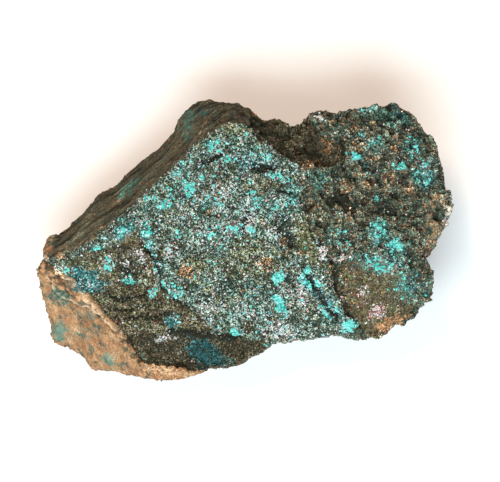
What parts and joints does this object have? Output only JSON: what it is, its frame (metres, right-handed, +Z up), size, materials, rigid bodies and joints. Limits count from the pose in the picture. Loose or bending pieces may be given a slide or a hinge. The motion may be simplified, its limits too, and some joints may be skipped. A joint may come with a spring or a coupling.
{
  "type": "mineral specimen",
  "caption": "Rough angular lump of copper ore with a broad sparkling green face, a lumpy granular shoulder, broken brown sides and a flat underside to rest on.",
  "frame": {"origin": "on the table, under the middle of the lump's bounding box", "axes": "+Z up from the resting face; +X along the length of the lump, from the pointed rusty end to the granular block; +Y towards the raised back edge that the broad green face leans back to"},
  "size_m": [0.0748, 0.0498, 0.0366],
  "materials": {
    "rock": "rough broken ore: olive brown stone with blue-green dioptase grains, dark red cuprite glints and rusty orange staining"
  },
  "bodies": {
    "root": {"rock": "rock"}
  },
  "joints": []
}
